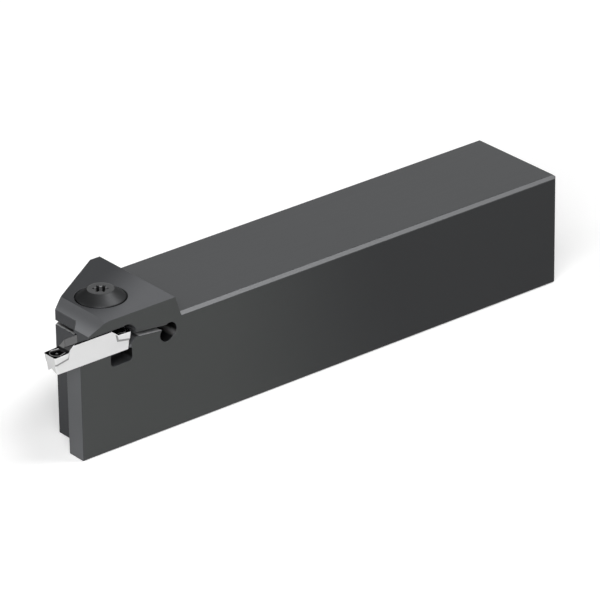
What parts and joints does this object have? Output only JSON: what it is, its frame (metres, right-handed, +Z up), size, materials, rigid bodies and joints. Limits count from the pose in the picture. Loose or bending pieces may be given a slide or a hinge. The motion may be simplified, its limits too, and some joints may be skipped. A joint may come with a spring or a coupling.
{
  "type": "lathe parting and grooving tool holder",
  "caption": "Square-shank lathe tool holder for parting and grooving, with a slit clamping jaw, a double-ended carbide insert and a clamp screw.",
  "frame": {"origin": "centre of the shank's bottom face, halfway between the slope behind the head and the rear end", "axes": "+X along the shank towards its rear end, +Y away from the side that carries the insert, +Z up, square to the bottom face"},
  "size_m": [0.17, 0.0323, 0.0392],
  "materials": {
    "body_steel": "satin dark oxide over fine machining marks",
    "carbide": "ground and lightly blasted light grey carbide",
    "screw_steel": "black oxide"
  },
  "bodies": {
    "holder": {"holder_body": "body_steel", "cutting_insert": "carbide"},
    "screw": {"clamp_screw": "screw_steel"}
  },
  "joints": [
    {"name": "clamp_screw_turn", "type": "hinge", "parent": "holder", "child": "screw", "pos_m": [-0.08065, -0.0033, 0.0369], "axis": [0, 0, 1], "range_deg": [0, 450]}
  ]
}
